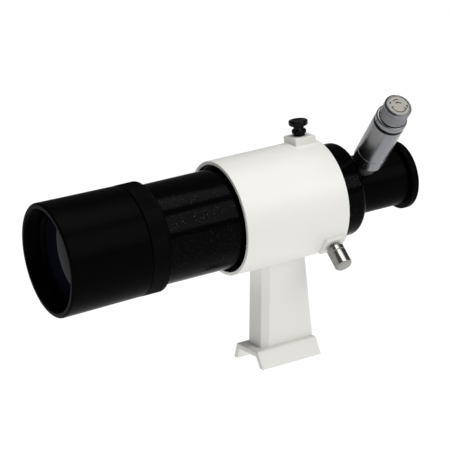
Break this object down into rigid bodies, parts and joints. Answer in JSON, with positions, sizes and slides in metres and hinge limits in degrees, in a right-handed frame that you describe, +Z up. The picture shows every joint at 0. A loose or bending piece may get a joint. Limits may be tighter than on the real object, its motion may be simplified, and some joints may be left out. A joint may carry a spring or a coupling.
{
  "type": "finder scope",
  "caption": "Straight-through finder scope with a lit reticle in a white ring bracket on a tapered post and dovetail foot, with adjusting screws and a spring plunger.",
  "frame": {"origin": "middle of the underside of the dovetail foot", "axes": "+X along the tube from the front lens to the eyepiece, +Z up from the foot to the tube, +Y to the side screw"},
  "size_m": [0.2147, 0.1, 0.14],
  "materials": {
    "white_paint": "smooth satin white enamel",
    "rubber": "matt",
    "gloss_black": "gloss black paint with a fine fleck",
    "satin_black": "satin black anodised",
    "flat_black": "flat black",
    "dark_metal": "grey anodised",
    "glass": "coated and polished",
    "foil": "bright",
    "black_plastic": "semi-gloss",
    "nylon": "matt",
    "chrome": "polished",
    "brass": "plain",
    "satin_silver": "satin anodised",
    "label": "printed",
    "led": "clear red",
    "circuit_board": "matt"
  },
  "bodies": {
    "bracket": {"bracket": "white_paint", "plunger_barrel": "chrome", "plunger_cap": "chrome", "plunger_spring": "foil"},
    "swivel_ring": {"pivot_oring": "rubber"},
    "tube": {"main_tube": "gloss_black", "rear_cell": "satin_black", "baffle_front": "flat_black", "baffle_middle": "flat_black", "baffle_rear": "flat_black", "eyepiece_barrel": "satin_black", "reticle_holder": "dark_metal", "reticle_glass": "glass", "reticle_retainer": "flat_black", "lamp_neck": "dark_metal", "lamp_tube": "satin_silver", "lamp_led": "led", "lamp_board": "circuit_board", "cell_sleeve": "nylon", "lower_cell": "foil", "upper_cell": "foil", "contact_spring": "foil"},
    "objective_glass": {"crown_lens": "glass", "flint_lens": "glass", "lens_foil": "foil"},
    "objective_shade": {"lens_shade": "satin_black", "lens_cell": "satin_black", "lens_retainer": "satin_black"},
    "lock_ring": {"lock_ring": "satin_black"},
    "eye_ring": {"eye_ring": "satin_black"},
    "eye_lenses": {"eye_cell": "flat_black", "eye_field_lens": "glass", "eye_lens_spacer": "flat_black", "eye_lens": "glass", "eye_lens_retainer": "flat_black"},
    "head_seal": {"head_oring": "rubber"},
    "lamp_head": {"head_collar": "satin_silver", "switch_body": "black_plastic"},
    "brightness_knob": {"knob": "satin_silver", "knob_label": "label", "knob_shaft": "foil"},
    "top_tip": {"top_tip": "nylon"},
    "top_screw": {"top_knob": "black_plastic", "top_stud": "foil"},
    "top_lock_nut": {"top_lock_nut": "black_plastic"},
    "side_tip": {"side_tip": "nylon"},
    "side_screw": {"side_knob": "black_plastic", "side_stud": "foil"},
    "side_lock_nut": {"side_lock_nut": "black_plastic"},
    "plunger_washer": {"plunger_washer": "brass"},
    "plunger_pin": {"plunger_pin": "foil"}
  },
  "joints": [
    {"name": "tube_pitch", "type": "hinge", "parent": "bracket", "child": "swivel_ring", "pos_m": [-0.022, 0, 0.083], "axis": [0, 1, 0], "range_deg": [-1, 1]},
    {"name": "tube_yaw", "type": "hinge", "parent": "swivel_ring", "child": "tube", "pos_m": [-0.022, 0, 0.083], "axis": [0, 0, 1], "range_deg": [-1, 1]},
    {"name": "top_tip_slide", "type": "slide", "parent": "bracket", "child": "top_tip", "axis": [0, 0, -1], "range_m": [-0.0009, 0.0009]},
    {"name": "top_screw_turn", "type": "hinge", "parent": "top_tip", "child": "top_screw", "pos_m": [0.0263, 0, 0.118], "axis": [0, 0, -1], "range_deg": [-380, 380]},
    {"name": "top_lock_nut_turn", "type": "hinge", "parent": "bracket", "child": "top_lock_nut", "pos_m": [0.0263, 0, 0.118], "axis": [0, 0, 1], "range_deg": [0, 120]},
    {"name": "side_tip_slide", "type": "slide", "parent": "bracket", "child": "side_tip", "axis": [0, 1, 0], "range_m": [-0.0009, 0.0009]},
    {"name": "side_screw_turn", "type": "hinge", "parent": "side_tip", "child": "side_screw", "pos_m": [0.0263, 0.035, 0.083], "axis": [0, 1, 0], "range_deg": [-380, 380]},
    {"name": "side_lock_nut_turn", "type": "hinge", "parent": "bracket", "child": "side_lock_nut", "pos_m": [0.0263, 0.035, 0.083], "axis": [0, 1, 0], "range_deg": [0, 120]},
    {"name": "plunger_pitch_slide", "type": "slide", "parent": "bracket", "child": "plunger_washer", "axis": [0, -0.7071, -0.7071], "range_m": [-0.00065, 0.00065], "deforming": ["plunger_spring"]},
    {"name": "plunger_yaw_slide", "type": "slide", "parent": "plunger_washer", "child": "plunger_pin", "axis": [0, -0.7071, -0.7071], "range_m": [-0.00065, 0.00065]},
    {"name": "focus_slide", "type": "slide", "parent": "tube", "child": "objective_glass", "axis": [-1, 0, 0], "range_m": [0, 0.002]},
    {"name": "shade_turn", "type": "hinge", "parent": "objective_glass", "child": "objective_shade", "pos_m": [-0.107, 0, 0.083], "axis": [-1, 0, 0], "range_deg": [0, 720]},
    {"name": "lock_ring_turn", "type": "hinge", "parent": "tube", "child": "lock_ring", "pos_m": [-0.077, 0, 0.083], "axis": [1, 0, 0], "range_deg": [0, 180]},
    {"name": "eye_ring_turn", "type": "hinge", "parent": "tube", "child": "eye_ring", "pos_m": [0.0832, 0, 0.083], "axis": [1, 0, 0], "range_deg": [-45, 45]},
    {"name": "eye_lens_slide", "type": "slide", "parent": "tube", "child": "eye_lenses", "axis": [1, 0, 0], "range_m": [-0.00076, 0.00076]},
    {"name": "lamp_head_slide", "type": "slide", "parent": "tube", "child": "head_seal", "axis": [0, -0.7071, 0.7071], "range_m": [0, 0.004]},
    {"name": "lamp_head_turn", "type": "hinge", "parent": "head_seal", "child": "lamp_head", "pos_m": [0.0568, -0.04243, 0.12543], "axis": [0, -0.7071, 0.7071], "range_deg": [0, 1440]},
    {"name": "brightness_turn", "type": "hinge", "parent": "lamp_head", "child": "brightness_knob", "pos_m": [0.0568, -0.04596, 0.12896], "axis": [0, 0.7071, -0.7071], "range_deg": [0, 300]}
  ],
  "couplings": [
    {"joint": "top_tip_slide", "follows": "tube_pitch", "m_per_rad": 0.0483},
    {"joint": "top_screw_turn", "follows": "tube_pitch", "ratio": 379.35},
    {"joint": "plunger_pitch_slide", "follows": "tube_pitch", "m_per_rad": 0.035072},
    {"joint": "side_tip_slide", "follows": "tube_yaw", "m_per_rad": 0.0483},
    {"joint": "side_screw_turn", "follows": "tube_yaw", "ratio": 379.35},
    {"joint": "plunger_yaw_slide", "follows": "tube_yaw", "m_per_rad": -0.035072},
    {"joint": "focus_slide", "follows": "shade_turn", "m_per_rad": 0.00015915},
    {"joint": "eye_lens_slide", "follows": "eye_ring_turn", "m_per_rad": 0.00095493},
    {"joint": "lamp_head_slide", "follows": "lamp_head_turn", "m_per_rad": 0.00015915}
  ]
}
